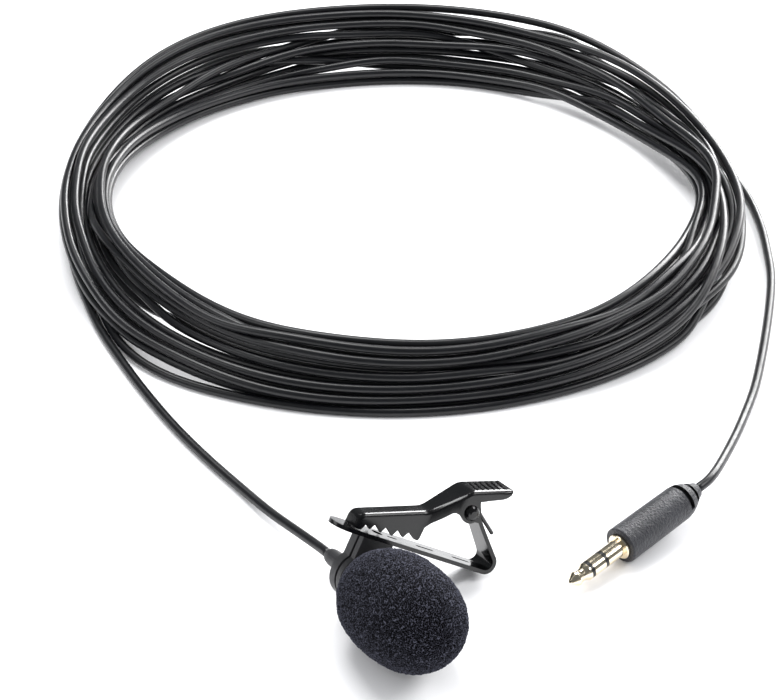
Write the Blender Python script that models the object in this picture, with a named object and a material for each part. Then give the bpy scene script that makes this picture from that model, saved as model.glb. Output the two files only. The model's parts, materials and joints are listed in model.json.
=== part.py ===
"""Lavalier microphone with foam windscreen, tie clip, coiled cord and 3.5 mm TRS plug.

The part lies on a surface at z = 0.  Built in metres, +Z up.  The microphone
points along -Y, its clip reaches out along +X and the cord leaves along +Y.
"""

import math

import bmesh
import bpy
from mathutils import Matrix, Vector

MM = 0.001

# --- where the pieces lie (millimetres and degrees) ---------------------------
MIC_CENTRE = (-11.09, -6.25, 10.40)     # middle of the windscreen, on the mic's axis
MIC_PITCH = 11.5                        # nose-up tilt of the mic on its fat windscreen
CLIP_ROLL = 33.8                        # turn of the clip about the mic's axis
CLIP_Y = 16.1                           # middle of the clip, behind the windscreen's middle
COIL_CENTRE = (62.31, 123.55)
PLUG_SEAT = (38.09, -2.26, 3.66)
PLUG_HEADING = 15.0
PLUG_PITCH = 5.0                        # the nose dips until the tip nearly touches

# --- windscreen ---------------------------------------------------------------
FOAM_FRONT = 14.7                       # half length, middle to nose
FOAM_REAR = 13.3                        # middle to the flat rear mouth
FOAM_R = 9.95
FOAM_POWER = 2.3                        # 2 is an ellipsoid, more is fuller
FOAM_BORE_DEPTH_Y = -4.6                # the bore's blind end

# --- microphone ---------------------------------------------------------------
MIC_R = 3.75
MIC_WALL = 0.45
MIC_Y0, MIC_Y1 = -4.0, 19.4
CAPSULE_R = 3.0
BOOT_R = 1.75
BOOT_Y0, BOOT_Y1 = 20.4, 27.4

# --- cord ---------------------------------------------------------------------
CORD_D = 1.9
COIL_R = 71.2                           # middle of the bundle
COIL_W = 11.5                           # width of the bundle
COIL_H = (14.3, 18.3)                   # its height at the lowest and the highest place
COIL_HIGH_AT = 60.5                     # direction of the highest place from the middle

# --- clip ---------------------------------------------------------------------
STRIP_Z = 8.8                           # jaw face above the mic's axis
STRIP_T = 0.8
STRIP_W = 6.0
STRIP_FRONT = -10.6
BEND_X = 23.2                           # where the rear bend begins
BEND_R = 1.75                           # to the middle of the sheet
BEND_ANGLE = 137.0
LEG_LENGTH = 9.8
LEG_TOP_W = 4.8
SLOTS = ((3.2, 2.2), (10.9, 4.1), (19.5, 4.1))       # middle and length of each slot
SLOT_W = 0.8
PIN = (15.1, 18.3)                      # hinge pin, x and z in the clip's frame
PIN_R = 0.70
PIN_HOLE_R = 0.75
LUG_IN, LUG_OUT = 1.7, 2.4              # inner and outer faces of the hinge lugs
JAW_W = 4.2                             # the lever is narrow at the jaw
LEVER_W = 6.4                           # and wide at the thumb pad
LEVER_T = 0.7
LEVER_BEND_R = 0.9
PAD_SLOPE = 0.315
GROOVES, GROOVE_PITCH = 6, 1.15         # thumb grooves in the pad
GROOVE_HALF = 2.45

HOLDER_R = 4.6
HOLDER_Y = (-1.4, 3.0)                  # width of the holder ring about CLIP_Y
HOLDER_GROOVE = (0.15, 0.75)

WIRE_R = 0.38
SPRING_R = 1.3
SPRING_TURNS = 2

# --- plug ---------------------------------------------------------------------
PLUG_LENGTH = 14.0
PLUG_R = 1.75
COLLAR_R = 2.5
BARREL_R = 3.62
BARREL_LENGTH = 21.6

MIC = Matrix.Translation([c * MM for c in MIC_CENTRE]) @ Matrix.Rotation(math.radians(-MIC_PITCH), 4, "X")
CLIP = MIC @ Matrix.Translation((0, CLIP_Y * MM, 0)) @ Matrix.Rotation(math.radians(CLIP_ROLL), 4, "Y")
HINGE = CLIP @ Matrix.Translation((PIN[0] * MM, 0, PIN[1] * MM))
PLUG = (
    Matrix.Translation([c * MM for c in PLUG_SEAT])
    @ Matrix.Rotation(math.radians(PLUG_HEADING - 90), 4, "Z")
    @ Matrix.Rotation(math.radians(PLUG_PITCH), 4, "X")
)


# --- helpers ------------------------------------------------------------------
def clear_scene():
    for obj in list(bpy.data.objects):
        bpy.data.objects.remove(obj, do_unlink=True)


def material(name, colour, roughness, metallic=0.0):
    found = bpy.data.materials.get(name)
    if found:
        return found
    made = bpy.data.materials.new(name)
    made.use_nodes = True
    shader = made.node_tree.nodes["Principled BSDF"]
    shader.inputs["Base Color"].default_value = (*colour, 1.0)
    shader.inputs["Roughness"].default_value = roughness
    shader.inputs["Metallic"].default_value = metallic
    return made


def add(name, bm, frame, mat=None, smooth=True):
    """Object from a bmesh in millimetres, given in the frame's own axes."""
    bmesh.ops.scale(bm, vec=(MM, MM, MM), verts=bm.verts)
    bmesh.ops.recalc_face_normals(bm, faces=bm.faces)
    mesh = bpy.data.meshes.new(name)
    bm.to_mesh(mesh)
    bm.free()
    if smooth:
        mesh.shade_smooth()
        mesh.set_sharp_from_angle(angle=math.radians(35))
    obj = bpy.data.objects.new(name, mesh)
    obj.matrix_world = frame
    bpy.context.scene.collection.objects.link(obj)
    if mat:
        mesh.materials.append(mat)
    else:
        obj.hide_render = True
        obj.display_type = "WIRE"
    return obj


def ring_faces(bm, a, b):
    """Quads, or triangles to a pole, between two rings of vertices."""
    n = max(len(a), len(b))
    for i in range(n):
        j = (i + 1) % n
        corners = [a[i % len(a)], a[j % len(a)], b[j % len(b)], b[i % len(b)]]
        corners = [v for k, v in enumerate(corners) if v is not corners[k - 1]]
        bm.faces.new(corners)


def lathe_into(bm, profile, steps, centre=(0.0, 0.0, 0.0), closed=False):
    """Turns (y, r) points about the local Y axis.  A closed profile makes a sleeve."""
    rings = []
    for y, r in profile:
        if r < 1e-6:
            rings.append([bm.verts.new((centre[0], centre[1] + y, centre[2]))])
            continue
        rings.append([
            bm.verts.new((
                centre[0] + r * math.sin(2 * math.pi * i / steps),
                centre[1] + y,
                centre[2] + r * math.cos(2 * math.pi * i / steps),
            ))
            for i in range(steps)
        ])
    for a, b in zip(rings, rings[1:]):
        ring_faces(bm, a, b)
    if closed:
        ring_faces(bm, rings[-1], rings[0])


def lathe(name, profile, frame, mat=None, steps=32, closed=False, centre=(0.0, 0.0, 0.0)):
    bm = bmesh.new()
    lathe_into(bm, profile, steps, centre, closed)
    return add(name, bm, frame, mat)


def loft_into(bm, sections):
    """Skins a list of equal point loops and caps both ends."""
    rings = [[bm.verts.new(p) for p in section] for section in sections]
    for a, b in zip(rings, rings[1:]):
        ring_faces(bm, a, b)
    bm.faces.new(rings[0])
    bm.faces.new(list(reversed(rings[-1])))


def prism(name, outline, y0, y1, frame, mat=None):
    """Extrudes an (x, z) outline from y0 to y1."""
    bm = bmesh.new()
    loft_into(bm, [[(x, y, z) for x, z in outline] for y in (y0, y1)])
    return add(name, bm, frame, mat)


def boolean(obj, tool, operation="DIFFERENCE"):
    modifier = obj.modifiers.new(tool.name, "BOOLEAN")
    modifier.operation = operation
    modifier.solver = "EXACT"
    modifier.object = tool
    return obj


def tube(name, points, radius, mat, sides=2):
    """Round wire or cord through world points in millimetres."""
    curve = bpy.data.curves.new(name, "CURVE")
    curve.dimensions = "3D"
    curve.bevel_depth = radius * MM
    curve.bevel_resolution = sides
    curve.use_fill_caps = True
    spline = curve.splines.new("POLY")
    spline.points.add(len(points) - 1)
    for target, p in zip(spline.points, points):
        target.co = (p[0] * MM, p[1] * MM, p[2] * MM, 1.0)
    curve.materials.append(mat)
    obj = bpy.data.objects.new(name, curve)
    bpy.context.scene.collection.objects.link(obj)
    return obj


def world(frame, x, y, z):
    """A point of a frame, in world millimetres."""
    return tuple(c / MM for c in frame @ Vector((x * MM, y * MM, z * MM)))


def smooth_route(points, spacing):
    """Evenly spaced points along a Catmull-Rom curve through the given ones."""
    pts = [Vector(p) for p in points]
    pts = [2 * pts[0] - pts[1], *pts, 2 * pts[-1] - pts[-2]]
    dense = []
    for a, b, c, d in zip(pts, pts[1:], pts[2:], pts[3:]):
        for k in range(24):
            t = k / 24
            dense.append(
                0.5 * (2 * b + (c - a) * t + (2 * a - 5 * b + 4 * c - d) * t * t + (3 * b - a - 3 * c + d) * t ** 3)
            )
    dense.append(pts[-2])
    length = sum((q - p).length for p, q in zip(dense, dense[1:]))
    count = max(2, round(length / spacing))
    out, walked, target = [dense[0]], 0.0, length / count
    for p, q in zip(dense, dense[1:]):
        step = (q - p).length
        while walked + step >= target - 1e-9 and len(out) < count:
            out.append(p.lerp(q, (target - walked) / step))
            target += length / count
        walked += step
    return [*out, dense[-1]]


# --- windscreen ---------------------------------------------------------------
def foam_radius(y):
    t = min(1.0, abs(y) / FOAM_FRONT)
    return FOAM_R * (1 - t ** FOAM_POWER) ** (1 / FOAM_POWER)


def build_windscreen(mat):
    bore = MIC_R + 0.3
    profile = [(FOAM_BORE_DEPTH_Y, 0), (FOAM_BORE_DEPTH_Y, bore), (FOAM_REAR - 0.4, bore), (FOAM_REAR, bore + 0.4)]
    steps = 17
    for k in range(steps):
        y = FOAM_REAR + (-FOAM_FRONT - FOAM_REAR) * (0.5 - 0.5 * math.cos(math.pi * k / steps))
        profile.append((y, foam_radius(y)))
    profile.append((-FOAM_FRONT, 0))
    return lathe("windscreen_foam", profile, MIC, mat, steps=40)


# --- microphone body and what is inside it --------------------------------------
def build_microphone(black_metal, black_plastic, steel, copper, board, rubber, felt, cord):
    inner = MIC_R - MIC_WALL
    lathe("mic_housing", [
        (MIC_Y0, inner - 0.1), (MIC_Y0, MIC_R - 0.3), (MIC_Y0 + 0.3, MIC_R),
        (MIC_Y1, MIC_R), (MIC_Y1, inner), (MIC_Y0 + 0.3, inner), (MIC_Y0 + 0.3, inner - 0.1),
    ], MIC, black_metal, closed=True)

    grille = lathe("mic_grille", [
        (MIC_Y0 + 0.35, 0), (MIC_Y0 + 0.35, inner - 0.08), (MIC_Y0 + 0.85, inner - 0.08), (MIC_Y0 + 0.85, 0),
    ], MIC, steel)
    holes = bmesh.new()
    spots = [(0.0, 0.0)] + [
        (ring * 0.95 * math.sin(2 * math.pi * k / (6 * ring)), ring * 0.95 * math.cos(2 * math.pi * k / (6 * ring)))
        for ring in (1, 2) for k in range(6 * ring)
    ]
    for x, z in spots:
        lathe_into(holes, [(MIC_Y0, 0), (MIC_Y0, 0.27), (MIC_Y0 + 1.2, 0.27), (MIC_Y0 + 1.2, 0)], 8, (x, 0, z))
    boolean(grille, add("grille_holes", holes, MIC))

    y = MIC_Y0 + 0.95
    lathe("acoustic_felt", [(y, 0), (y, 3.1), (y + 0.4, 3.1), (y + 0.4, 0)], MIC, felt)
    y += 0.5
    lathe("capsule_can", [
        (y + 0.35, 0), (y + 0.35, 0.5), (y, 0.5), (y, CAPSULE_R - 0.15), (y + 0.15, CAPSULE_R),
        (y + 2.8, CAPSULE_R), (y + 2.8, CAPSULE_R - 0.4), (y + 2.5, CAPSULE_R - 0.4), (y + 2.5, 0),
    ], MIC, steel)
    lathe("capsule_gasket", [
        (y + 0.3, CAPSULE_R + 0.05), (y + 0.3, inner - 0.06), (y + 3.4, inner - 0.06), (y + 3.4, CAPSULE_R + 0.05),
    ], MIC, rubber, closed=True)
    y += 2.9
    lathe("fet_board", [(y, 0), (y, 2.5), (y + 0.6, 2.5), (y + 0.6, 0)], MIC, board)
    y += 0.65
    for name, x in (("solder_signal", -1.1), ("solder_ground", 1.1)):
        lathe(name, [(y, 0), (y, 0.55), (y + 0.25, 0.45), (y + 0.45, 0)], MIC, steel, steps=12, centre=(x, 0, 0))
    for name, x in (("lead_signal", -1.1), ("lead_ground", 1.1)):
        points = [(x, y + 0.75, 0), (x, y + 2.2, 0), (x * 0.8, y + 4.5, 0), (x * 0.45, y + 7.0, 0), (x * 0.35, y + 9.0, 0)]
        tube(name, smooth_route([world(MIC, *p) for p in points], 0.9), 0.25, copper, sides=1)
    core = y + 9.3
    lathe("cord_in_boot", [(core, 0), (core, CORD_D / 2), (BOOT_Y1 - 0.1, CORD_D / 2), (BOOT_Y1 - 0.1, 0)], MIC, cord, steps=20)
    lathe("cord_anchor", [
        (core + 1.0, CORD_D / 2 + 0.06), (core + 1.0, 1.7), (core + 3.0, 1.7), (core + 3.0, CORD_D / 2 + 0.06),
    ], MIC, steel, steps=20, closed=True)
    neck = 1.05
    lathe("mic_rear_cap", [
        (17.4, neck), (17.4, inner - 0.06), (MIC_Y1 + 0.06, inner - 0.06), (MIC_Y1 + 0.06, MIC_R - 0.1),
        (MIC_Y1 + 0.5, MIC_R - 0.1), (MIC_Y1 + 0.9, MIC_R - 0.6), (MIC_Y1 + 0.9, neck),
    ], MIC, black_plastic, closed=True)
    lathe("cable_boot", [
        (BOOT_Y0, neck), (BOOT_Y0, BOOT_R), (BOOT_Y1 - 1.6, BOOT_R - 0.12), (BOOT_Y1 - 0.5, BOOT_R - 0.3),
        (BOOT_Y1, CORD_D / 2 + 0.25), (BOOT_Y1, neck),
    ], MIC, rubber, steps=24, closed=True)


# --- clip: holder, bent strip, lever, pin and spring ------------------------------
def build_holder(mat):
    y0, y1 = HOLDER_Y
    g0, g1 = HOLDER_GROOVE
    holder = lathe("clip_holder", [
        (y0, 2.0), (y0, HOLDER_R - 0.3), (y0 + 0.3, HOLDER_R), (g0, HOLDER_R), (g0, HOLDER_R - 0.55),
        (g1, HOLDER_R - 0.55), (g1, HOLDER_R), (y1 - 0.3, HOLDER_R), (y1, HOLDER_R - 0.3), (y1, 2.0),
    ], CLIP, mat, steps=48, closed=True)
    top = STRIP_Z - STRIP_T - 0.1
    half, waist = 3.35, 2.85
    bm = bmesh.new()
    loft_into(bm, [
        [(-h, y, 0), (h, y, 0), (h, y, top), (-h, y, top)]
        for y, h in ((y0 + 0.2, half), (g0, half), (g0 + 0.01, waist), (g1 - 0.01, waist), (g1, half), (y1 - 0.2, half))
    ])
    boolean(holder, add("holder_block", bm, CLIP), "UNION")
    boolean(holder, lathe("holder_bore", [(y0 - 1, 0), (y0 - 1, MIC_R + 0.1), (y1 + 1, MIC_R + 0.1), (y1 + 1, 0)], CLIP, steps=32))
    boolean(holder, lathe("holder_rivet_hole", [(0, 0), (0, 0.72), (8.0, 0.72), (8.0, 0)],
                          CLIP @ Matrix.Rotation(math.radians(90), 4, "X"), steps=20, centre=(0, 4.9, -0.45)))
    return holder


def strip_path():
    """Stations along the strip's middle: (x, z, normal, half width)."""
    mid = STRIP_Z - STRIP_T / 2
    half = STRIP_W / 2
    stations = []
    for k in range(7):
        d = half * (1 - math.cos(math.pi / 2 * k / 6))
        w = math.sqrt(max(0.0, half ** 2 - (half - d) ** 2))
        stations.append((STRIP_FRONT + d, mid, (0.0, 1.0), max(w, 0.5)))
    stations.append((BEND_X, mid, (0.0, 1.0), half))
    for k in range(1, 9):
        a = math.radians(BEND_ANGLE * k / 8)
        stations.append((
            BEND_X + BEND_R * math.sin(a), mid + BEND_R * (1 - math.cos(a)), (-math.sin(a), math.cos(a)), half,
        ))
    x, z, normal, _ = stations[-1]
    a = math.radians(BEND_ANGLE)
    for s, w in ((0.5, 2.9), (4.0, 2.6), (6.5, LEG_TOP_W / 2), (LEG_LENGTH, LEG_TOP_W / 2)):
        stations.append((x + s * math.cos(a), z + s * math.sin(a), normal, w))
    return stations


def build_strip(mat):
    sections = []
    for x, z, (nx, nz), w in strip_path():
        t = STRIP_T / 2
        sections.append([
            (x - nx * t, -w, z - nz * t), (x - nx * t, w, z - nz * t),
            (x + nx * t, w, z + nz * t), (x + nx * t, -w, z + nz * t),
        ])
    bm = bmesh.new()
    loft_into(bm, sections)
    strip = add("clip_base", bm, CLIP, mat)

    # two lugs carry the hinge pin
    a = math.radians(BEND_ANGLE)
    end = strip_path()[-1]
    foot = (end[0] - 1.6 * math.cos(a), end[1] - 1.6 * math.sin(a))
    side = (math.sin(a) * STRIP_T * 0.45, -math.cos(a) * STRIP_T * 0.45)
    outline = []
    for k in range(15):
        ang = math.radians(26 + 240 * k / 14)
        outline.append((PIN[0] + 1.75 * math.cos(ang), PIN[1] + 1.75 * math.sin(ang)))
    outline += [(foot[0] - side[0], foot[1] - side[1]), (foot[0] + side[0], foot[1] + side[1]),
                (end[0] + side[0], end[1] + side[1])]
    for name, y0, y1 in (("lug_a", -LUG_OUT, -LUG_IN), ("lug_b", LUG_IN, LUG_OUT)):
        boolean(strip, prism(name, outline, y0, y1, CLIP), "UNION")
    boolean(strip, lathe("lug_bore", [(-3, 0), (-3, PIN_HOLE_R), (3, PIN_HOLE_R), (3, 0)], HINGE, steps=24))

    # lengthwise slots, and the countersunk hole of the holder's rivet
    slots = bmesh.new()
    for x, length in SLOTS:
        loop = []
        for k in range(6):
            ang = math.radians(-90 + 180 * k / 5)
            loop.append((x + length / 2 - SLOT_W / 2 + SLOT_W / 2 * math.cos(ang), SLOT_W / 2 * math.sin(ang)))
        for k in range(6):
            ang = math.radians(90 + 180 * k / 5)
            loop.append((x - length / 2 + SLOT_W / 2 + SLOT_W / 2 * math.cos(ang), SLOT_W / 2 * math.sin(ang)))
        loft_into(slots, [[(px, py, z) for px, py in loop] for z in (STRIP_Z - STRIP_T - 0.5, STRIP_Z + 0.5)])
    boolean(strip, add("slot_cutters", slots, CLIP))
    boolean(strip, lathe("rivet_hole", [
        (-STRIP_Z - 0.2, 0), (-STRIP_Z - 0.2, 1.2), (-STRIP_Z + 0.55, 0.85), (-STRIP_Z + STRIP_T + 0.3, 0.85), (-STRIP_Z + STRIP_T + 0.3, 0),
    ], CLIP @ Matrix.Rotation(math.radians(-90), 4, "X"), steps=20, centre=(0, 0, 0.45)))
    return strip


def pad_height(x):
    return 22.4 + (x - 14.5) * PAD_SLOPE


def lever_top():
    """Stations of the lever's spine: (x, z, half width)."""
    jaw, pad = JAW_W / 2, LEVER_W / 2
    spine = [(-6.7, 10.8, jaw - 0.6), (-6.62, 11.15, jaw - 0.35), (-6.35, 11.5, jaw - 0.15), (-5.9, 11.78, jaw - 0.03),
             (-5.3, 12.02, jaw), (0.0, 13.7, jaw), (6.3, 15.7, jaw), (7.1, 16.02, jaw + 0.02), (8.0, 16.65, jaw + 0.15),
             (10.7, 19.15, jaw + 0.7), (12.0, 20.45, jaw + 0.92), (12.9, 21.35, pad - 0.06), (13.6, 21.95, pad),
             (14.3, pad_height(14.3), pad)]
    spine += [(x, pad_height(x), pad) for x in (16.0, 18.0, 20.0)]
    spine += [(22.0, pad_height(22.0) - 0.05, pad - 0.1), (22.3, pad_height(22.3) - 0.4, pad - 0.4)]
    return spine


LEVER_LOW = [(-6.7, 8.9), (-6.3, 8.85), (-5.3, 8.9), (-4.68, 10.1), (-3.54, 9.45), (-2.8, 10.65), (-1.08, 9.45),
             (-0.36, 10.75), (1.52, 9.5), (2.28, 10.95), (3.93, 9.85), (4.71, 11.15), (6.5, 10.15), (7.15, 10.12),
             (7.38, 10.6), (7.45, 12.8), (8.3, 13.95), (10.3, 15.85), (11.4, 17.05), (12.1, 17.35), (12.8, 17.25)]


def lever_low():
    """The lower edge of the side walls: nose, five teeth, the ear round the pin, and the pad's rim."""
    low = list(LEVER_LOW)
    for k in range(9):
        ang = math.radians(222 + 136 * k / 8)
        low.append((PIN[0] + 2.1 * math.cos(ang), PIN[1] + 2.1 * math.sin(ang)))
    low += [(17.3, 21.25), (20.6, 22.5), (21.4, 23.0), (21.9, 23.6), (22.3, 24.2)]
    return low


def along(points, x, column=1):
    for a, b in zip(points, points[1:]):
        if a[0] <= x <= b[0] + 1e-9:
            t = 0.0 if b[0] == a[0] else (x - a[0]) / (b[0] - a[0])
            return a[column] + (b[column] - a[column]) * t
    return points[-1][column]


def channel_section(x, top, low, half, bend):
    """Cross-section of the channel's outer skin with rounded upper edges."""
    bend = min(bend, (top - low) * 0.6, half * 0.8)
    loop = [(x, -half, low)]
    for k in range(4):
        a = math.radians(180 - 30 * k)
        loop.append((x, -half + bend + bend * math.cos(a), top - bend + bend * math.sin(a)))
    for k in range(4):
        a = math.radians(90 - 30 * k)
        loop.append((x, half - bend + bend * math.cos(a), top - bend + bend * math.sin(a)))
    return [*loop, (x, half, low)]


def build_lever(mat):
    spine, low = lever_top(), lever_low()
    xs = sorted({round(p[0], 3) for p in spine} | {round(p[0], 3) for p in low})
    xs = [x for k, x in enumerate(xs) if k == 0 or x - xs[k - 1] > 0.02]
    bm = bmesh.new()
    loft_into(bm, [channel_section(x, along(spine, x), along(low, x), along(spine, x, 2), LEVER_BEND_R) for x in xs])
    # the mesh is moved so that its origin lies on the hinge pin
    bmesh.ops.translate(bm, vec=(-PIN[0], 0, -PIN[1]), verts=bm.verts)
    lever = add("clip_lever", bm, HINGE, mat)

    hollow = bmesh.new()
    core = [p for p in spine if -5.95 < p[0] < 14.0]
    smooth_pad = [(x, pad_height(x) - 0.32, LEVER_W / 2) for x in (14.3, 18.0, 21.5)]
    loft_into(hollow, [
        channel_section(x, z - LEVER_T, 2.0, half - LEVER_T, LEVER_BEND_R - 0.3) for x, z, half in [*core, *smooth_pad]
    ])
    bmesh.ops.translate(hollow, vec=(-PIN[0], 0, -PIN[1]), verts=hollow.verts)
    boolean(lever, add("lever_hollow", hollow, HINGE))
    # thumb grooves across the pad, which stop short of its rim
    grooves = bmesh.new()
    for k in range(GROOVES):
        x = 15.05 + GROOVE_PITCH * k - PIN[0]
        sections = []
        for y, depth in ((-GROOVE_HALF, 0.02), (-GROOVE_HALF + 0.35, 0.3), (GROOVE_HALF - 0.35, 0.3), (GROOVE_HALF, 0.02)):
            lean = 0.12 * y
            z = pad_height(x + lean + PIN[0]) - PIN[1]
            sections.append([
                (x + lean - 0.16, y, z - depth), (x + lean + 0.16, y, z - depth),
                (x + lean + 0.34, y, z + 0.5), (x + lean - 0.34, y, z + 0.5),
            ])
        loft_into(grooves, sections)
    boolean(lever, add("grooves", grooves, HINGE))
    # the ears are waisted where they meet the pad's rim
    waist = [(17.7, 18.5), (17.7, 21.3), (17.3, 21.2), (16.1, 20.75), (16.35, 20.15), (16.75, 19.55), (17.1, 18.9)]
    boolean(lever, prism("ear_waist", [(x - PIN[0], z - PIN[1]) for x, z in waist], -4.0, 4.0, HINGE))
    boolean(lever, lathe("ear_bore", [(-4, 0), (-4, PIN_HOLE_R), (4, PIN_HOLE_R), (4, 0)], HINGE, steps=24))
    return lever


def build_clip_hardware(steel, black_metal):
    half = LEVER_W / 2
    lathe("hinge_pin", [
        (-half - 0.95, 0), (-half - 0.92, 0.6), (-half - 0.75, 1.12), (-half - 0.45, 1.42), (-half - 0.05, 1.5), (-half - 0.05, PIN_R),
        (half + 0.75, PIN_R), (half + 0.75, 0),
    ], HINGE, black_metal, steps=24)
    lathe("pin_retainer", [
        (half + 0.05, PIN_R + 0.05), (half + 0.05, 1.3), (half + 0.3, 1.3), (half + 0.55, 1.0), (half + 0.55, PIN_R + 0.05),
    ], HINGE, black_metal, steps=24, closed=True)
    z = STRIP_Z
    lathe("holder_rivet", [
        (-z + 0.3, 0), (-z + 0.3, 0.72), (-z + 0.8, 0.62), (-z + 3.0, 0.62), (-z + 3.0, 0),
    ], CLIP @ Matrix.Rotation(math.radians(-90), 4, "X"), steel, steps=20, centre=(0, 0, 0.45))


def build_spring(mat):
    """Three coils round the pin, a leg down the outer face of the strip's leg and one under the pad."""
    leg = math.radians(BEND_ANGLE - 180)            # from the pin down the strip's leg
    pad = math.atan(PAD_SLOPE)
    # the coil leaves the lever's side tangentially under the pad and ends on the strip's side
    start, stop = pad + math.pi / 2, leg + math.pi / 2 - 2 * math.pi * SPRING_TURNS
    steps = 16 * SPRING_TURNS
    width = 0.82 * SPRING_TURNS
    coil = []
    for k in range(steps + 1):
        a = start + (stop - start) * k / steps
        coil.append((SPRING_R * math.cos(a), width / 2 - width * k / steps, SPRING_R * math.sin(a)))
    y0, y1 = coil[0][1], coil[-1][1]
    under_pad = [
        (SPRING_R * math.cos(start) + d * math.cos(pad) , y0, SPRING_R * math.sin(start) + d * math.sin(pad) + lift)
        for d, lift in ((5.2, 1.1), (4.0, 1.05), (2.6, 0.76), (1.2, 0.25))
    ]
    down_leg = [
        (SPRING_R * math.cos(stop) + d * math.cos(leg) + lift * math.sin(-leg), y1,
         SPRING_R * math.sin(stop) + d * math.sin(leg) + lift * math.cos(leg))
        for d, lift in ((0.7, 0.33), (1.5, 0.84), (2.5, 1.08), (4.4, 1.42), (7.8, 2.11))
    ]
    points = [world(HINGE, *p) for p in [*under_pad, *coil, *down_leg]]
    return tube("torsion_spring", points, WIRE_R, mat, sides=1)


# --- plug ---------------------------------------------------------------------
def build_plug(gold, black_plastic, insulator, core, cord, copper):
    tip = -PLUG_LENGTH
    bore = 0.62
    gap = 0.05
    lathe("plug_tip", [
        (tip, 0), (tip, 0.22), (tip + 0.25, 0.55), (tip + 1.5, 1.40), (tip + 1.8, 1.45), (tip + 2.3, 1.30),
        (tip + 2.9, 1.18), (tip + 3.5, 1.25), (tip + 4.0, 1.55), (tip + 4.3, PLUG_R), (tip + 4.6, PLUG_R),
        (tip + 4.6, bore - gap), (2.6, bore - gap), (2.6, 0),
    ], PLUG, gold, steps=32)
    lathe("plug_insulator_tip", [
        (tip + 4.65, bore), (tip + 4.65, PLUG_R - 0.03), (tip + 5.35, PLUG_R - 0.03), (tip + 5.35, 0.85), (1.6, 0.85), (1.6, bore),
    ], PLUG, insulator, steps=32, closed=True)
    lathe("plug_ring_contact", [
        (tip + 5.4, 0.9), (tip + 5.4, PLUG_R), (tip + 8.3, PLUG_R), (tip + 8.3, 1.1), (0.9, 1.1), (0.9, 0.9),
    ], PLUG, gold, steps=32, closed=True)
    lathe("plug_insulator_ring", [
        (tip + 8.35, 1.15), (tip + 8.35, PLUG_R - 0.03), (tip + 9.05, PLUG_R - 0.03), (tip + 9.05, 1.35), (0.4, 1.35), (0.4, 1.15),
    ], PLUG, insulator, steps=32, closed=True)
    lathe("plug_sleeve", [
        (tip + 9.1, 1.4), (tip + 9.1, PLUG_R), (-0.55, PLUG_R), (-0.55, COLLAR_R - 0.15), (-0.4, COLLAR_R),
        (0.25, COLLAR_R), (0.25, 1.4),
    ], PLUG, gold, steps=32, closed=True)
    lathe("plug_core", [
        (2.7, 0), (2.7, 0.9), (1.7, 0.9), (1.7, 1.2), (1.0, 1.2), (1.0, 2.35), (9.5, 2.35), (10.5, 1.2), (10.5, 0),
    ], PLUG, core, steps=24)
    body = BARREL_LENGTH
    barrel = lathe("plug_barrel", [
        (0.0, COLLAR_R + 0.1), (0.0, BARREL_R - 0.25), (0.25, BARREL_R), (16.4, BARREL_R - 0.12), (17.6, BARREL_R - 0.3),
        (18.8, BARREL_R - 0.75), (19.8, BARREL_R - 1.25), (20.7, BARREL_R - 1.75), (body, BARREL_R - 2.1),
        (body, 1.05), (10.8, 1.05), (10.8, 2.45), (0.35, 2.45), (0.35, COLLAR_R + 0.1),
    ], PLUG, black_plastic, steps=40, closed=True)
    # four flex slots: two pairs of arcs that leave a rib on each side
    slots = bmesh.new()
    for y0, y1, floor in ((16.4, 17.5, 2.5), (19.0, 19.9, 1.65)):
        for middle in (20, 200):
            section = lambda a, y0=y0, y1=y1, floor=floor: [
                (r * math.sin(a), y, r * math.cos(a)) for r, y in ((floor, y0), (floor, y1), (5.0, y1), (5.0, y0))
            ]
            loft_into(slots, [section(math.radians(middle - 68 + 136 * k / 12)) for k in range(13)])
    boolean(barrel, add("flex_slots", slots, PLUG))
    lathe("cord_in_plug", [(10.9, 0), (10.9, CORD_D / 2), (body - 0.1, CORD_D / 2), (body - 0.1, 0)], PLUG, cord, steps=20)


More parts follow.
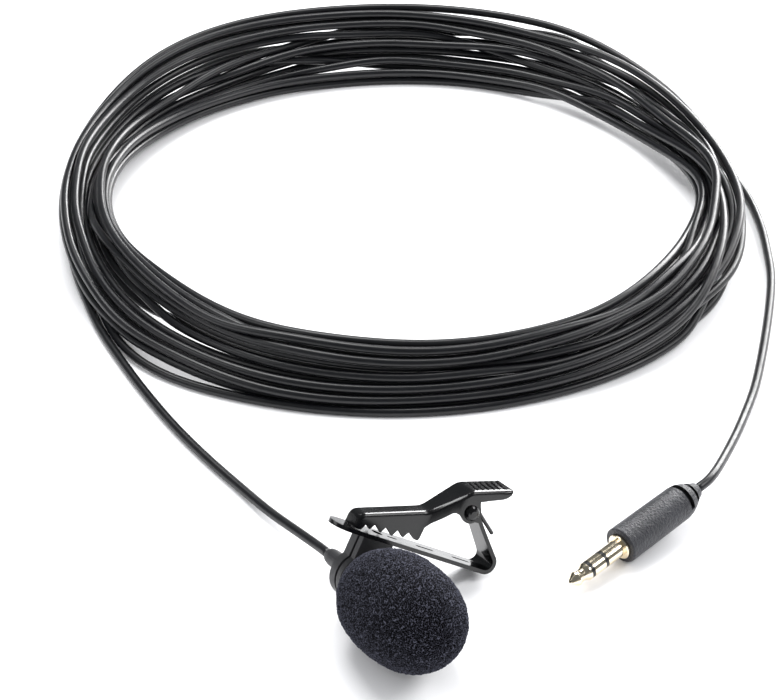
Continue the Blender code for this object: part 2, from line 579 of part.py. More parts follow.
# --- cord -----------------------------------------------------------------------
def build_cord(cord):
    bm = bmesh.new()
    rings = []
    for i in range(72):
        a = 2 * math.pi * i / 72
        b = a - math.radians(COIL_HIGH_AT) + math.pi / 2
        # a hand-wound bundle: not quite round, and fuller on one side
        middle = COIL_R - 0.78 * math.cos(2 * b) - 0.25 * math.sin(2 * b) - 0.6 * math.cos(4 * b) - 0.55 * math.sin(4 * b)
        half_h = (COIL_H[0] + (COIL_H[1] - COIL_H[0]) * (0.5 + 0.5 * math.sin(b))) / 2
        ring = []
        for k in range(12):
            c, s = math.cos(2 * math.pi * k / 12), math.sin(2 * math.pi * k / 12)
            c, s = math.copysign(abs(c) ** 0.75, c), math.copysign(abs(s) ** 0.75, s)
            r = middle + COIL_W / 2 * c
            ring.append(bm.verts.new((r * math.cos(a), r * math.sin(a), half_h + half_h * s)))
        rings.append(ring)
    for a, b in zip(rings, [*rings[1:], rings[0]]):
        ring_faces(bm, a, b)
    add("cord_coil", bm, Matrix.Translation((COIL_CENTRE[0] * MM, COIL_CENTRE[1] * MM, 0)), cord)

    rest = CORD_D / 2 + 0.02
    mx, my = MIC_CENTRE[0], MIC_CENTRE[1]
    start = world(MIC, 0, BOOT_Y1 + 0.3, 0)
    ahead = world(MIC, 0, BOOT_Y1 + 3.5, 0)
    mic_tail = [start, ahead, (mx - 0.8, my + 39, 3.0), (mx - 1.6, my + 48, 1.7), (mx - 2.5, my + 59, rest + 0.05),
                (mx - 3.9, my + 71, rest), (mx - 4.4, my + 81, rest), (mx - 4.3, my + 91, rest), (mx - 4.1, my + 101, rest),
                (mx - 3.5, my + 111.5, rest), (mx - 2.75, my + 120.5, rest)]
    tube("cord_mic_tail", smooth_route(mic_tail, 2.4), CORD_D / 2, cord)

    start = world(PLUG, 0, BARREL_LENGTH + 0.3, 0)
    ahead = world(PLUG, 0, BARREL_LENGTH + 3.5, 0)
    plug_tail = [start, ahead, (mx + 85.7, my + 20.3, 3.6), (mx + 96.2, my + 29.8, 2.0), (mx + 106.5, my + 39.9, rest + 0.1),
                 (mx + 117.1, my + 51.1, rest), (mx + 127.1, my + 63.4, rest), (mx + 136.2, my + 77.1, rest),
                 (mx + 145.5, my + 94.1, rest), (mx + 149.7, my + 105, rest), (mx + 150.6, my + 116, rest), (mx + 148.6, my + 126, rest)]
    tube("cord_plug_tail", smooth_route(plug_tail, 2.4), CORD_D / 2, cord)


def main():
    clear_scene()
    foam = material("foam", (0.022, 0.023, 0.028), 0.95)
    black_metal = material("black_metal", (0.012, 0.012, 0.014), 0.32)
    black_plastic = material("black_plastic", (0.02, 0.02, 0.022), 0.5)
    rubber = material("black_rubber", (0.02, 0.02, 0.022), 0.6)
    cord = material("cord_jacket", (0.01, 0.011, 0.014), 0.3)
    steel = material("nickel", (0.62, 0.62, 0.64), 0.3, 1.0)
    gold = material("gold_plate", (0.93, 0.76, 0.42), 0.2, 1.0)
    copper = material("copper_lead", (0.72, 0.38, 0.22), 0.35, 1.0)
    board = material("circuit_board", (0.05, 0.22, 0.1), 0.5)
    felt = material("felt", (0.05, 0.05, 0.05), 0.95)
    insulator = material("insulator", (0.015, 0.015, 0.015), 0.4)
    core = material("premould", (0.75, 0.75, 0.72), 0.5)

    build_windscreen(foam)
    build_microphone(black_metal, black_plastic, steel, copper, board, rubber, felt, cord)
    build_holder(black_plastic)
    build_strip(black_metal)
    build_lever(black_metal)
    build_clip_hardware(steel, black_metal)
    build_spring(black_metal)
    build_plug(gold, black_plastic, insulator, core, cord, copper)
    build_cord(cord)


main()
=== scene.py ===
"""Looks of the lavalier microphone: camera, cord, windscreen, clip, plug, materials and light."""

import json
import math

import bmesh
import bpy
import numpy as np
from mathutils import Matrix, Vector, noise


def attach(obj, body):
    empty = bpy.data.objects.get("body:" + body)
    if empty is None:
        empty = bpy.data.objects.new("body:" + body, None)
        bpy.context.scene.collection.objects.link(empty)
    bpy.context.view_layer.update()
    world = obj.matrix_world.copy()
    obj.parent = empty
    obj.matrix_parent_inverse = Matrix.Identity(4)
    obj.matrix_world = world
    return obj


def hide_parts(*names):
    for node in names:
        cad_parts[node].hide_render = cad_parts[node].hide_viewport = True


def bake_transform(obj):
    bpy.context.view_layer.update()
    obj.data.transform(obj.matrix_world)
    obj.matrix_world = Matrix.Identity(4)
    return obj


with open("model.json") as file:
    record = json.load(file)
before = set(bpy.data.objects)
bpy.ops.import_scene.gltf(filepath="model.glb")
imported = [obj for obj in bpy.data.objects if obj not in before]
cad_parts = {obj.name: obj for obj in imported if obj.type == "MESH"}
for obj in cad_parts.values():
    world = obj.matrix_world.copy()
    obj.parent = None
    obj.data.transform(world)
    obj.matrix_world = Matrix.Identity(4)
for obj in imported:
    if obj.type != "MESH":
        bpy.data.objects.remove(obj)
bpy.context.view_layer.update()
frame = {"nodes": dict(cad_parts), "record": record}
MM = 0.001

# --- frames of the CAD, from its record ------------------------------------------
JOINTS = {joint["name"]: joint for joint in frame["record"]["behaviour"]["joints"]}
MOUNTS = {mount["name"]: mount for mount in frame["record"]["mounts"]}


def axes(origin, x, y):
    """A frame with this origin in metres, and its x and y directions."""
    x, y = Vector(x).normalized(), Vector(y).normalized()
    z = x.cross(y)
    return Matrix.Translation(Vector(origin)) @ Matrix((x, y, z)).transposed().to_4x4()


MIC = axes(JOINTS["clip_swivel"]["pos_m"], (1, 0, 0), -Vector(JOINTS["clip_swivel"]["axis"]))
PLUG_AXIS = -Vector(MOUNTS["plug_shoulder"]["axis"])
PLUG_ACROSS = Vector((PLUG_AXIS.y, -PLUG_AXIS.x, 0)).normalized()
SHOULDER_OFFSET = 3          # the mount's point is this far from the plug's axis, in millimetres
PLUG_SEAT = Vector(MOUNTS["plug_shoulder"]["pos_m"]) - PLUG_ACROSS * SHOULDER_OFFSET * MM
PLUG = axes(PLUG_SEAT, PLUG_ACROSS, PLUG_AXIS)


# --- camera ----------------------------------------------------------------------
CAMERA_TURN = 29.5           # the camera looks this far to the right of +Y, degrees


def make_camera():
    data = bpy.data.cameras.new("camera")
    data.lens, data.sensor_width = 129.56, 36.0
    data.clip_start, data.clip_end = 0.01, 20.0
    camera = bpy.data.objects.new("camera", data)
    eye = Vector((-0.2043, -0.3431, 0.3206))
    aim = Vector((0.0361, 0.0817, 0.0))
    turn = (aim - eye).to_track_quat("-Z", "Y").to_matrix().to_4x4()
    camera.matrix_world = Matrix.Translation(eye) @ turn
    bpy.context.scene.collection.objects.link(camera)
    bpy.context.scene.camera = camera


make_camera()

# --- cord ------------------------------------------------------------------------
# in millimetres, and in degrees anticlockwise from +X
CORD_D = 1.9
REST = CORD_D / 2 + 0.02     # height of the cord's middle where it lies on the table
COIL = Vector((62.31, 123.55))
SLICES = 240                 # places round the coil at which its turns are kept apart
TURNS = 13
EVEN_STEP = 1.5              # turns nearer to each other than this along the bundle's slope move apart
COIL_ENTRY = 214.0           # direction from the coil's middle at which the mic tail joins
COIL_EXIT = -60.0            # and the direction at which the plug tail has left it
LEAN = 58                    # slope of the pile at its near and far sides
# where the pile is wider or narrower, seen by the camera, and how far its middle lies outwards
BULGES = (
    # direction, spread, wider, outwards
    (8, 15, -1.5, 1.9),
    (48, 28, 1.3, 1.5),
    (130, 23, 2.0, 2.4),
    (216, 24, 1.8, -2.0),
    (280, 22, -1.2, -0.8),
    (328, 18, 0.9, -0.8),
)
RELAX_STEPS, PART_STEPS = 700, 260
MX, MY = MIC.translation.x / MM, MIC.translation.y / MM
# how the tails come up to the coil on the table, from the windscreen's middle
MIC_TAIL = ((-3.9, 71), (-4.4, 81), (-4.3, 91), (-4.1, 101), (-3.5, 111.5), (-2.75, 120.5))
PLUG_TAIL = ((149.7, 105), (145.5, 94.1), (136.2, 77.1), (127.1, 63.4), (117.1, 51.1))


def bundle_middle(theta):
    """Radius of the bundle's middle: a hand-wound coil isn't quite round."""
    b = theta + math.radians(CAMERA_TURN)
    oval = 0.78 * np.cos(2 * b)
    slant = 0.25 * np.sin(2 * b)
    return 71.2 - oval - slant - 0.6 * np.cos(4 * b) - 0.55 * np.sin(4 * b)


def bell(angle, middle, width):
    """1 at the middle direction, falling smoothly to 0 on both sides of it."""
    gap = (angle - middle + 180) % 360 - 180
    return np.exp(-((gap / width) ** 2))


def gauss(sigma):
    x = np.arange(-int(3 * sigma), int(3 * sigma) + 1)
    kernel = np.exp(-0.5 * (x / sigma) ** 2)
    return kernel / kernel.sum()


def spread_along(values, sigma):
    """Each column smoothed along the cord."""
    kernel = gauss(sigma)
    pad = len(kernel) // 2
    padded = [np.pad(column, pad, mode="edge") for column in values.T]
    return np.stack([np.convolve(column, kernel, mode="valid") for column in padded], axis=1)


def wind_coil():
    """The coil's centreline: turns laid with random wander, then pushed apart for a set number of steps."""
    rng = np.random.default_rng(11)
    travelled = COIL_ENTRY - COIL_EXIT + 360 * TURNS
    count = int(travelled / 360 * SLICES)
    angle = COIL_ENTRY - 360.0 * np.arange(count) / SLICES
    theta = np.radians(angle)
    seen = angle + CAMERA_TURN                # 0 right, 90 far, 180 left, 270 near
    turn = np.arange(count) / SLICES

    # the bundle is an oval pile that leans inwards at the near side and outwards at the far side
    side = np.cos(np.radians(seen)) ** 2
    far = np.sin(np.radians(seen))
    behind = 1.3 * np.clip(far, 0, 1)
    half_u = 7.4 + behind - (3.0 + behind) * side + 1.2 * bell(seen, -16, 26)
    shift = 2.0 * far
    for direction, spread, wider, outwards in BULGES:
        half_u = half_u + wider * bell(seen, direction, spread)
        shift = shift + outwards * bell(seen, direction, spread)
    half_w = 1.45 + 4.0 * side
    lean = np.radians(LEAN) * far
    cos, sin = np.cos(lean), np.sin(lean)
    middle = np.stack([shift, REST + np.hypot(half_u * sin, half_w * cos)], axis=1)

    def across(place):
        """Places in the slices, along and across the pile's slope."""
        x, z = (place - middle).T
        return np.stack([x * cos + z * sin, z * cos - x * sin], axis=1)

    def back(uw):
        u, w = uw.T
        return middle + np.stack([u * cos - w * sin, u * sin + w * cos], axis=1)

    def wander(sigma):
        """Smooth noise along the cord, spread evenly over -1 to 1."""
        raw = spread_along(rng.normal(size=(count, 1)), sigma)[:, 0]
        raw = (raw - raw.mean()) / raw.std()
        return np.tanh(1.25 * raw)

    anchor = back(np.stack([half_u * wander(75), half_w * wander(60)], axis=1))
    place = anchor.copy()
    target, hold = place.copy(), np.zeros(count)

    def lay(first, last, before, points, fade=12):
        """Hold a stretch, which has so many turns before it, on a route of points in millimetres."""
        x, y, high = np.array(points, float).T
        x, y = x - COIL.x, y - COIL.y
        at = np.degrees(np.arctan2(y, x))
        at = at + 360 * np.round((angle[where_from(first)] + 360 * before - at[0]) / 360)
        at = np.degrees(np.unwrap(np.radians(at)))
        off = np.hypot(x, y) - bundle_middle(np.radians(at))
        order = np.argsort(at)
        where = (turn >= first) & (turn <= last)
        here = angle[where] + 360 * before
        target[where, 0] = np.interp(here, at[order], off[order])
        target[where, 1] = np.interp(here, at[order], high[order])
        ramp = np.clip(np.minimum(turn - first, last - turn) * SLICES / fade, 0, 1)
        hold[where] = np.maximum(hold[where], ramp[where])

    def where_from(first):
        return int(np.clip(round(first * SLICES), 0, count - 1))

    def polar(direction, off, z):
        t = math.radians(direction)
        r = float(bundle_middle(t)) + off
        return (COIL.x + r * math.cos(t), COIL.y + r * math.sin(t), z)

    # both tails lie on the table and come up to the bundle from outside
    mic_side = [(MX + x, MY + y, REST) for x, y in MIC_TAIL]
    plug_side = [(MX + x, MY + y, REST) for x, y in PLUG_TAIL]
    joining = [polar(176, 3.7, REST + 0.3), polar(165, 3.6, 2.2), polar(150, 3.4, 4.0)]
    leaving = [polar(26, 4.6, 10.5), polar(14, 5.4, 9.0), polar(4, 6.6, 6.6), polar(-6, 8.2, 3.8),
               polar(-14, 9.4, 1.8)]
    end = count / SLICES
    lay(-1, (COIL_ENTRY - 150) / 360, 0, [*mic_side, *joining])
    lay(end - 86 / 360, end + 1, TURNS, [*leaving, *plug_side])
    # one turn strays outside the bundle at the near left
    stray = (COIL_ENTRY + 62) / 360
    route = ((62, 3.6), (76, 3.2), (90, 2.8), (105, 2.4), (118, 2.3), (128, 2.3), (136, 2.5), (143.5, 3.0),
             (149.5, 3.9), (154.5, 4.7), (159.5, 5.4), (164.5, 5.8), (169.5, 5.2), (174.5, 4.0), (184.5, 1.6),
             (202, 0.5))
    lay(stray, stray + 140 / 360, 0, [polar(-a, off, REST) for a, off in route], fade=30)

    rows = -(-count // SLICES)
    full = rows * SLICES
    on_table = hold > 0.5
    # least height of the turns that aren't held, with a rise at the near left
    lift = REST + 2.2 * bell(seen, -130, 15) * ~on_table

    def push(place, reach, share):
        """How far each point is pushed by the other turns near it, in its slice through the bundle."""
        grid = np.full((full, 2), np.nan)
        grid[:count] = place
        grid = grid.reshape(rows, SLICES, 2)
        away = grid[:, None] - grid[None]
        gap = np.sqrt((away ** 2).sum(-1)) + 1e-9
        near = np.nan_to_num(np.clip(reach - gap, 0, None))
        near[np.arange(rows), np.arange(rows)] = 0
        moved = (np.nan_to_num(away / gap[..., None]) * near[..., None]).sum(1) * share
        return moved.reshape(full, 2)[:count]

    def even(place):
        """How far each point moves along the slope, so that a slice's turns cover it without wide gaps."""
        grid = np.full(full, np.nan)
        grid[:count] = np.where(on_table, np.nan, across(place)[:, 0])
        grid = grid.reshape(rows, SLICES)
        away = grid[:, None] - grid[None]
        near = np.clip(EVEN_STEP - np.abs(away), 0, None) * np.sign(away)
        along = (np.nan_to_num(near).sum(1) * 0.15).reshape(full)[:count]
        return np.stack([along * cos, along * sin], axis=1)

    free = (1 - hold)[:, None]
    for step in range(RELAX_STEPS):
        move = push(place, CORD_D * 1.22, 0.2) + push(place, CORD_D + 0.04, 0.4)
        move += 0.012 * (anchor - place) + even(place)
        uw = across(place)
        beyond = np.sqrt(np.sqrt((uw[:, 0] / half_u) ** 4 + (uw[:, 1] / half_w) ** 4)) + 1e-9
        move += 0.4 * (back(uw / np.maximum(beyond, 1)[:, None]) - place)
        move = spread_along(move, 5) * free + hold[:, None] * 0.5 * (target - place)
        place = place + move
        if step % 10 == 0 and step < RELAX_STEPS - 40:
            place = place * hold[:, None] + spread_along(place, 4) * free
        place[:, 1] = np.maximum(place[:, 1], REST)
        low = place[:, 1] < lift
        place[low, 1] += 0.3 * (lift - place[:, 1])[low]
    for _ in range(PART_STEPS):
        place = place + spread_along(push(place, CORD_D + 0.05, 0.5), 2.5) * np.maximum(free, 0.15)
        place[:, 1] = np.maximum(place[:, 1], REST)
    place = spread_along(place, 1.5)
    radius = bundle_middle(theta) + place[:, 0]
    x = COIL.x + radius * np.cos(theta)
    y = COIL.y + radius * np.sin(theta)
    return np.stack([x, y, place[:, 1]], axis=1)


def through(points, spacing):
    """Evenly spaced points along a centripetal Catmull-Rom curve through the given ones."""
    pts = [np.array(p, float) for p in points]
    pts = [2 * pts[0] - pts[1], *pts, 2 * pts[-1] - pts[-2]]
    dense = []
    for a, b, c, d in zip(pts, pts[1:], pts[2:], pts[3:]):
        t1 = np.linalg.norm(b - a) ** 0.5
        t2 = t1 + np.linalg.norm(c - b) ** 0.5
        t3 = t2 + np.linalg.norm(d - c) ** 0.5
        for t in np.linspace(t1, t2, 20, endpoint=False):
            a1 = (t1 - t) / t1 * a + t / t1 * b
            a2 = (t2 - t) / (t2 - t1) * b + (t - t1) / (t2 - t1) * c
            a3 = (t3 - t) / (t3 - t2) * c + (t - t2) / (t3 - t2) * d
            b1 = (t2 - t) / t2 * a1 + t / t2 * a2
            b2 = (t3 - t) / (t3 - t1) * a2 + (t - t1) / (t3 - t1) * a3
            dense.append((t2 - t) / (t2 - t1) * b1 + (t - t1) / (t2 - t1) * b2)
    dense = np.array([*dense, pts[-2]])
    along = np.concatenate([[0], np.cumsum(np.linalg.norm(np.diff(dense, axis=0), axis=1))])
    at = np.linspace(0, along[-1], max(2, round(along[-1] / spacing) + 1))
    return np.stack([np.interp(at, along, dense[:, k]) for k in range(3)], axis=1)


def local(matrix, x, y, z):
    """A point of a frame, in world millimetres."""
    return tuple(c / MM for c in matrix @ Vector((x * MM, y * MM, z * MM)))


def mesh_object(name, points, faces, smooth=True):
    """A mesh object from points in metres."""
    mesh = bpy.data.meshes.new(name)
    mesh.from_pydata([tuple(p) for p in points], [], [tuple(int(i) for i in f) for f in faces])
    mesh.update()
    if smooth:
        mesh.shade_smooth()
    obj = bpy.data.objects.new(name, mesh)
    bpy.context.scene.collection.objects.link(obj)
    return obj


def tube(name, line, radius, sides=12):
    """A closed round tube along a line, with rings that don't twist."""
    tangent = np.gradient(line, axis=0)
    tangent /= np.linalg.norm(tangent, axis=1)[:, None]
    side = np.cross(tangent[0], (0.0, 0.0, 1.0))
    turns = np.linspace(0, 2 * math.pi, sides, endpoint=False)
    rings = []
    for point, t in zip(line, tangent):
        side = side - t * side.dot(t)
        side /= np.linalg.norm(side)
        up = np.cross(side, t)
        rings.append(point + radius * (np.cos(turns)[:, None] * side + np.sin(turns)[:, None] * up))
    count = len(line)
    i, k = np.meshgrid(np.arange(count - 1), np.arange(sides), indexing="ij")
    n = (k + 1) % sides
    corners = [i * sides + k, i * sides + n, (i + 1) * sides + n, (i + 1) * sides + k]
    faces = [tuple(f) for f in np.stack(corners, axis=-1).reshape(-1, 4)[:, ::-1]]
    faces += [tuple(range(sides)), tuple(range(count * sides - 1, (count - 1) * sides - 1, -1))]
    return mesh_object(name, np.concatenate(rings), faces)


def evenly(line, spacing):
    """Evenly spaced points along the straight pieces of a line."""
    along = np.concatenate([[0], np.cumsum(np.linalg.norm(np.diff(line, axis=0), axis=1))])
    at = np.linspace(0, along[-1], max(2, round(along[-1] / spacing) + 1))
    return np.stack([np.interp(at, along, line[:, k]) for k in range(3)], axis=1)


def make_cord():
    """One tube from the boot, through the coil, to the plug, with its line and length in metres."""
    coil = wind_coil()
    mic_tail = [
        local(MIC, 0, 27.1, 0), local(MIC, 0, 29.0, 0), local(MIC, 0, 31.2, 0), (MX - 0.8, MY + 39, 3.0),
        (MX - 1.6, MY + 48, 1.7), (MX - 2.5, MY + 59, REST + 0.05), (MX - 3.5, MY + 68, REST),
    ]
    plug_tail = [
        (MX + 106.5, MY + 39.9, REST + 0.1), (MX + 96.2, MY + 29.8, 2.0), (MX + 85.7, MY + 20.3, 3.6),
        local(PLUG, 0, 25.5, 0), local(PLUG, 0, 23.4, 0), local(PLUG, 0, 21.4, 0),
    ]
    first = through([*mic_tail, *coil[2:17:7]], 1.0)
    last = through([*coil[-16:-2:7], *plug_tail], 1.0)
    line = evenly(np.concatenate([first[:-1], coil[16:-16], last[1:]]), 0.8)
    soft = spread_along(line, 3.0)
    blend = np.clip(np.minimum(np.arange(len(line)), np.arange(len(line))[::-1]) / 12, 0, 1)[:, None]
    line = evenly(line * (1 - blend) + soft * blend, 1.6)
    length = float(np.linalg.norm(np.diff(line, axis=0), axis=1).sum()) * MM
    return tube("cord", line * MM, CORD_D / 2 * MM), line * MM, length


cord, cord_line, cord_length = make_cord()
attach(cord, "microphone")
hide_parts("cord_mic_tail", "cord_coil", "cord_plug_tail")


# --- materials -------------------------------------------------------------------
def principled(name, colour, roughness, metallic=0.0, **more):
    mat = bpy.data.materials.new(name)
    mat.use_nodes = True
    shader = mat.node_tree.nodes["Principled BSDF"]
    shader.inputs["Base Color"].default_value = (*colour, 1.0)
    shader.inputs["Roughness"].default_value = roughness
    shader.inputs["Metallic"].default_value = metallic
    for key, value in more.items():
        shader.inputs[key].default_value = value
    return mat


def node(mat, kind, values=None, **links):
    """A shader node with its socket values, fed by the sockets given by name."""
    made = mat.node_tree.nodes.new(kind)
    for key, value in (values or {}).items():
        made.inputs[key].default_value = value
    for key, socket in links.items():
        mat.node_tree.links.new(socket, made.inputs[key.replace("_", " ")])
    return made


def feed(mat, socket, name):
    mat.node_tree.links.new(socket, mat.node_tree.nodes["Principled BSDF"].inputs[name])


def ramp(mat, fac, stops):
    made = node(mat, "ShaderNodeValToRGB", Fac=fac)
    band = made.color_ramp
    while len(band.elements) < len(stops):
        band.elements.new(0.5)
    for element, (at, colour) in zip(band.elements, stops):
        element.position = at
        element.color = (*colour, 1.0) if isinstance(colour, tuple) else (colour, colour, colour, 1.0)
    return made.outputs["Color"]


def grain(mat, size_mm, detail=3.0, rough=0.55, stretch=(1, 1, 1)):
    """Noise with features of about this size, in the object's own space."""
    place = node(mat, "ShaderNodeTexCoord").outputs["Object"]
    if stretch != (1, 1, 1):
        place = node(mat, "ShaderNodeMapping", {"Scale": stretch}, Vector=place).outputs["Vector"]
    values = {"Scale": 1 / (size_mm * MM), "Detail": detail, "Roughness": rough}
    return node(mat, "ShaderNodeTexNoise", values, Vector=place).outputs["Fac"]


def bump(mat, height, depth_mm, strength=1.0):
    made = node(mat, "ShaderNodeBump", {"Strength": strength, "Distance": depth_mm * MM}, Height=height)
    feed(mat, made.outputs["Normal"], "Normal")
    return made


def finish(name, colour, worn, roughness, metallic, size_mm, depth_mm, spread=0.06, strength=0.5, **more):
    """A finish with broad colour variation, uneven gloss and a fine bump."""
    mat = principled(name, colour, roughness, metallic, **more)
    broad = grain(mat, size_mm * 12, 4.0)
    feed(mat, ramp(mat, broad, [(0.3, colour), (0.75, worn)]), "Base Color")
    fine = grain(mat, size_mm)
    gloss = grain(mat, size_mm * 5, 4.0)
    feed(mat, ramp(mat, gloss, [(0.25, roughness - spread), (0.75, roughness + spread)]), "Roughness")
    bump(mat, fine, depth_mm, strength)
    return mat


jacket = finish("jacket", (0.0026, 0.0028, 0.0042), (0.0045, 0.0048, 0.0066), 0.36, 0.0,
                size_mm=0.5, depth_mm=0.02, spread=0.05, strength=0.35)
black_metal = finish("black_enamel", (0.0015, 0.0015, 0.0017), (0.003, 0.003, 0.0034), 0.2, 0.0,
                     size_mm=0.8, depth_mm=0.01, spread=0.04, strength=0.12)
black_plastic = finish("black_plastic", (0.018, 0.018, 0.02), (0.028, 0.028, 0.031), 0.48, 0.0,
                       size_mm=0.22, depth_mm=0.04, spread=0.06, strength=0.5)
barrel_skin = finish("barrel_skin", (0.014, 0.0145, 0.019), (0.027, 0.028, 0.035), 0.4, 0.0,
                     size_mm=0.5, depth_mm=0.3, spread=0.08, strength=1.0)
black_rubber = finish("black_rubber", (0.013, 0.013, 0.015), (0.02, 0.02, 0.023), 0.5, 0.0,
                      size_mm=0.25, depth_mm=0.03, spread=0.06, strength=0.4)
nickel = finish("nickel", (0.6, 0.6, 0.61), (0.68, 0.67, 0.66), 0.24, 1.0,
                size_mm=0.3, depth_mm=0.006, spread=0.06, strength=0.3)
gold = finish("gold_plate", (0.98, 0.85, 0.62), (1.0, 0.9, 0.72), 0.14, 1.0,
              size_mm=0.4, depth_mm=0.004, spread=0.05, strength=0.25)
copper = finish("enamelled_copper", (0.72, 0.33, 0.16), (0.8, 0.42, 0.22), 0.3, 1.0,
                size_mm=0.3, depth_mm=0.006)
board = finish("solder_mask", (0.02, 0.14, 0.06), (0.03, 0.2, 0.08), 0.4, 0.0,
               size_mm=0.3, depth_mm=0.02)
felt = finish("felt", (0.03, 0.03, 0.03), (0.05, 0.05, 0.05), 0.95, 0.0,
              size_mm=0.12, depth_mm=0.1, spread=0.03, strength=1.0)
insulator = finish("insulator", (0.006, 0.006, 0.006), (0.012, 0.012, 0.012), 0.3, 0.0,
                   size_mm=0.3, depth_mm=0.01)
premould = finish("premould", (0.7, 0.69, 0.64), (0.78, 0.77, 0.72), 0.5, 0.0,
                  size_mm=0.5, depth_mm=0.03)

cord.data.materials.append(jacket)
FINISH = {
    "black_metal": black_metal, "black_plastic": black_plastic, "black_rubber": black_rubber, "nickel": nickel,
    "gold_plate": gold, "copper_lead": copper, "circuit_board": board, "felt": felt, "insulator": insulator,
    "premould": premould, "cord_jacket": jacket,
}
SLOT_OF = {part["node"]: part["material_slot"] for part in frame["record"]["subparts"]}
for name, obj in frame["nodes"].items():
    mat = barrel_skin if name == "plug_barrel" else FINISH.get(SLOT_OF[name])
    if mat:
        for slot in obj.material_slots:
            slot.material = mat


# --- rounded copies of the CAD's hard parts ---------------------------------------
SHARP_DEG = 24               # edges that turn by more than this are rounded


def refine(name, body, width_mm, mat):
    """The CAD node again with its edges rounded, so that they catch the light."""
    source = frame["nodes"][name]
    bm = bmesh.new()
    bm.from_mesh(source.data)
    bmesh.ops.remove_doubles(bm, verts=bm.verts, dist=2e-6)
    bmesh.ops.dissolve_limit(bm, angle_limit=math.radians(1.0), verts=bm.verts, edges=bm.edges)
    edges = [e for e in bm.edges if len(e.link_faces) == 2 and e.calc_face_angle() > math.radians(SHARP_DEG)]
    bmesh.ops.bevel(bm, geom=edges, offset=width_mm * MM, offset_type="OFFSET", segments=2, profile=0.5,
                    affect="EDGES", clamp_overlap=True)
    mesh = bpy.data.meshes.new(name + "_rounded")
    bm.to_mesh(mesh)
    bm.free()
    mesh.shade_smooth()
    obj = bpy.data.objects.new(name + "_rounded", mesh)
    bpy.context.scene.collection.objects.link(obj)
    normals = obj.modifiers.new("normals", "WEIGHTED_NORMAL")
    normals.keep_sharp = False
    normals.weight = 60
    mesh.materials.append(mat)
    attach(obj, body)
    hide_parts(name)
    return obj


refine("clip_lever", "lever", 0.14, black_metal)
refine("clip_base", "clip", 0.1, black_metal)
refine("clip_holder", "clip", 0.2, black_plastic)
barrel = refine("plug_barrel", "microphone", 0.16, barrel_skin)


def paint_slot_shade():
    """Painted shade: the floors of the barrel's two flex slots get a near-black material, standing in for the
    shade deep inside them.
    """
    # painted shade: a near-black material for the slot floors
    barrel.data.materials.append(principled("painted_slot_shade", (0.0008, 0.0008, 0.0009), 0.7))
    to_plug = PLUG.inverted()
    floors = ((16.3, 17.6, 2.62), (18.9, 20.0, 1.78))        # from, to, and outer radius along the plug
    for face in barrel.data.polygons:
        spot = to_plug @ face.center / MM
        if any(y0 < spot.y < y1 and math.hypot(spot.x, spot.z) < r for y0, y1, r in floors):
            face.material_index = 1


paint_slot_shade()

# the coil sits on the hinge pin, with one leg on the clip's upright and the other on the lever; the copy stays
# where the CAD places it
spring = bpy.data.objects.new("spring_wound", frame["nodes"]["torsion_spring"].data.copy())
bpy.context.scene.collection.objects.link(spring)
spring.matrix_world = frame["nodes"]["torsion_spring"].matrix_world.copy()
spring.data.materials.clear()
spring.data.materials.append(black_metal)
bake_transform(spring)
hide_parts("torsion_spring")


# --- windscreen ------------------------------------------------------------------
FOAM_FRONT, FOAM_REAR, FOAM_R = 14.7, 13.3, 9.95
FOAM_POWER = 2.3             # 2 is an ellipsoid, more is fuller
FOAM_BORE_R = 4.05
FOAM_BORE_SEEN = 6.0         # how deep into the bore the skin goes
FOAM_ROW = 0.12              # the mesh is this fine, to hold the cells
FOAM_AROUND = 520
CELL, CELL_DEPTH = 0.37, 0.30


def foam_profile():
    """Points (y, r) down the skin from the nose to the mouth's rim and into the bore, evenly spaced."""
    skin = []
    for a in np.linspace(0, 1, 600):
        y = -FOAM_FRONT + (FOAM_REAR + FOAM_FRONT) * (0.5 - 0.5 * math.cos(math.pi * a))
        t = min(1.0, abs(y) / FOAM_FRONT)
        skin.append((y, FOAM_R * (1 - t ** FOAM_POWER) ** (1 / FOAM_POWER), 0.0))
    skin += [(FOAM_REAR + 0.1, FOAM_BORE_R + 0.7, 0.0), (FOAM_REAR - 0.1, FOAM_BORE_R + 0.2, 0.0),
             (FOAM_REAR - 0.8, FOAM_BORE_R, 0.0), (FOAM_REAR - FOAM_BORE_SEEN, FOAM_BORE_R, 0.0)]
    return evenly(np.array(skin), FOAM_ROW)[:, :2]


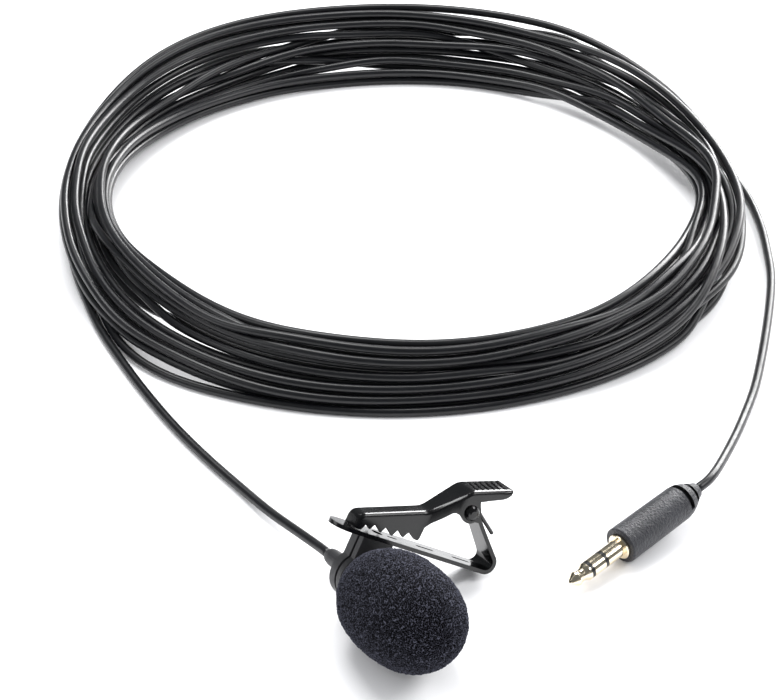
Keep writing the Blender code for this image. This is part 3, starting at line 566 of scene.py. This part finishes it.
def make_foam():
    """Open-cell foam: a dense skin whose cells are pressed in between thin walls."""
    profile = foam_profile()
    rows, around = len(profile), FOAM_AROUND
    turns = np.linspace(0, 2 * math.pi, around, endpoint=False)
    y, r = profile[:, 0][:, None], np.maximum(profile[:, 1], 0.004)[:, None]
    slope = np.gradient(profile, axis=0)
    slope /= np.linalg.norm(slope, axis=1)[:, None] + 1e-12
    normal_y, normal_r = -slope[:, 1][:, None], slope[:, 0][:, None]
    x, z = r * np.cos(turns), r * np.sin(turns)
    base = np.stack([x, np.broadcast_to(y, x.shape), z], axis=-1).reshape(-1, 3)
    ahead = np.broadcast_to(normal_y, x.shape)
    outward = np.stack([normal_r * np.cos(turns), ahead, normal_r * np.sin(turns)], axis=-1).reshape(-1, 3)
    pore, broad, uneven = np.empty((3, len(base)))
    for i, p in enumerate(base):
        distances, _ = noise.voronoi(Vector(p) / CELL, distance_metric="DISTANCE")
        pore[i] = distances[1] - distances[0]
        broad[i] = noise.noise(Vector(p) * 0.35)
        uneven[i] = noise.noise(Vector(p) * 1.5)
    pit = np.clip((pore - 0.02) / 0.24, 0, 1)
    pit = pit * pit * (3 - 2 * pit)
    moved = base + outward * (0.10 * broad + 0.14 * uneven - CELL_DEPTH * pit)[:, None]
    i, k = np.meshgrid(np.arange(rows - 1), np.arange(around), indexing="ij")
    n = (k + 1) % around
    corners = [i * around + k, (i + 1) * around + k, (i + 1) * around + n, i * around + n]
    faces = np.stack(corners, axis=-1).reshape(-1, 4)
    world = np.array(MIC) @ np.concatenate([moved * MM, np.ones((len(moved), 1))], axis=1).T
    obj = mesh_object("windscreen", world[:3].T, [*faces.tolist(), list(range(around))[::-1]])
    # the pit depth is also stored for the material, which paints the pits darker as shade
    layer = obj.data.color_attributes.new("pit", "FLOAT_COLOR", "POINT")
    layer.data.foreach_set("color", np.repeat(pit[:, None], 4, axis=1).ravel())
    return obj


foam_skin = principled("foam_skin", (0.04, 0.04, 0.05), 0.92, 0.0, **{"Specular IOR Level": 0.12})
# painted shade: the skin's colour runs from the cell walls down to near black at the bottoms of the pits,
# standing in for the shade inside the cells
PIT_SHADE_COLOURS = [(0.0, (0.075, 0.078, 0.104)), (0.35, (0.014, 0.014, 0.019)), (1.0, (0.001, 0.001, 0.0016))]
pit_shade = foam_skin.node_tree.nodes.new("ShaderNodeAttribute")
pit_shade.attribute_name = "pit"
feed(foam_skin, ramp(foam_skin, pit_shade.outputs["Fac"], PIT_SHADE_COLOURS), "Base Color")
bump(foam_skin, grain(foam_skin, 0.14), 0.08, 0.6)
windscreen = make_foam()
windscreen.data.materials.append(foam_skin)
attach(windscreen, "windscreen")
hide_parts("windscreen_foam")


# --- floor and light -------------------------------------------------------------
def make_light(name, bearing, height, distance, size, power):
    """An area light. Its bearing is counted anticlockwise from the camera's right, in degrees."""
    a, e = math.radians(bearing - CAMERA_TURN), math.radians(height)
    aim = Vector((0.045, 0.09, 0.0))
    place = aim + distance * Vector((math.cos(a) * math.cos(e), math.sin(a) * math.cos(e), math.sin(e)))
    data = bpy.data.lights.new(name, "AREA")
    data.shape, data.energy = "RECTANGLE", power
    data.size, data.size_y = size
    light = bpy.data.objects.new(name, data)
    turn = (aim - place).to_track_quat("-Z", "Y").to_matrix().to_4x4()
    light.matrix_world = Matrix.Translation(place) @ turn
    bpy.context.scene.collection.objects.link(light)


def make_stage():
    bm = bmesh.new()
    bmesh.ops.create_grid(bm, x_segments=1, y_segments=1, size=3.0)
    mesh = bpy.data.meshes.new("floor")
    bm.to_mesh(mesh)
    floor = bpy.data.objects.new("floor", mesh)
    bpy.context.scene.collection.objects.link(floor)
    mesh.materials.append(principled("floor", (0.93, 0.93, 0.94), 0.7))
    world = bpy.data.worlds.new("world")
    world.use_nodes = True
    tree = world.node_tree
    soft = tree.nodes["Background"]
    soft.inputs["Color"].default_value = (0.97, 0.98, 1, 1)
    soft.inputs["Strength"].default_value = 0.8
    # gloss sees a dimmer room than the floor does, as in a studio with dark walls
    room = tree.nodes.new("ShaderNodeBackground")
    room.inputs["Color"].default_value = (0.9, 0.95, 1, 1)
    room.inputs["Strength"].default_value = 0.16
    mix, path = tree.nodes.new("ShaderNodeMixShader"), tree.nodes.new("ShaderNodeLightPath")
    tree.links.new(path.outputs["Is Glossy Ray"], mix.inputs["Fac"])
    tree.links.new(soft.outputs["Background"], mix.inputs[1])
    tree.links.new(room.outputs["Background"], mix.inputs[2])
    tree.links.new(mix.outputs["Shader"], tree.nodes["World Output"].inputs["Surface"])
    bpy.context.scene.world = world
    bpy.context.scene.view_settings.view_transform = "Standard"
    make_light("rim", 58, 20, 0.95, (0.65, 0.28), 12.0)
    make_light("top", 110, 66, 1.0, (0.5, 0.5), 8.0)
    make_light("right", -6, 42, 1.0, (0.4, 0.4), 4.0)
    make_light("left", 200, 35, 1.1, (0.5, 0.5), 2.0)


make_stage()
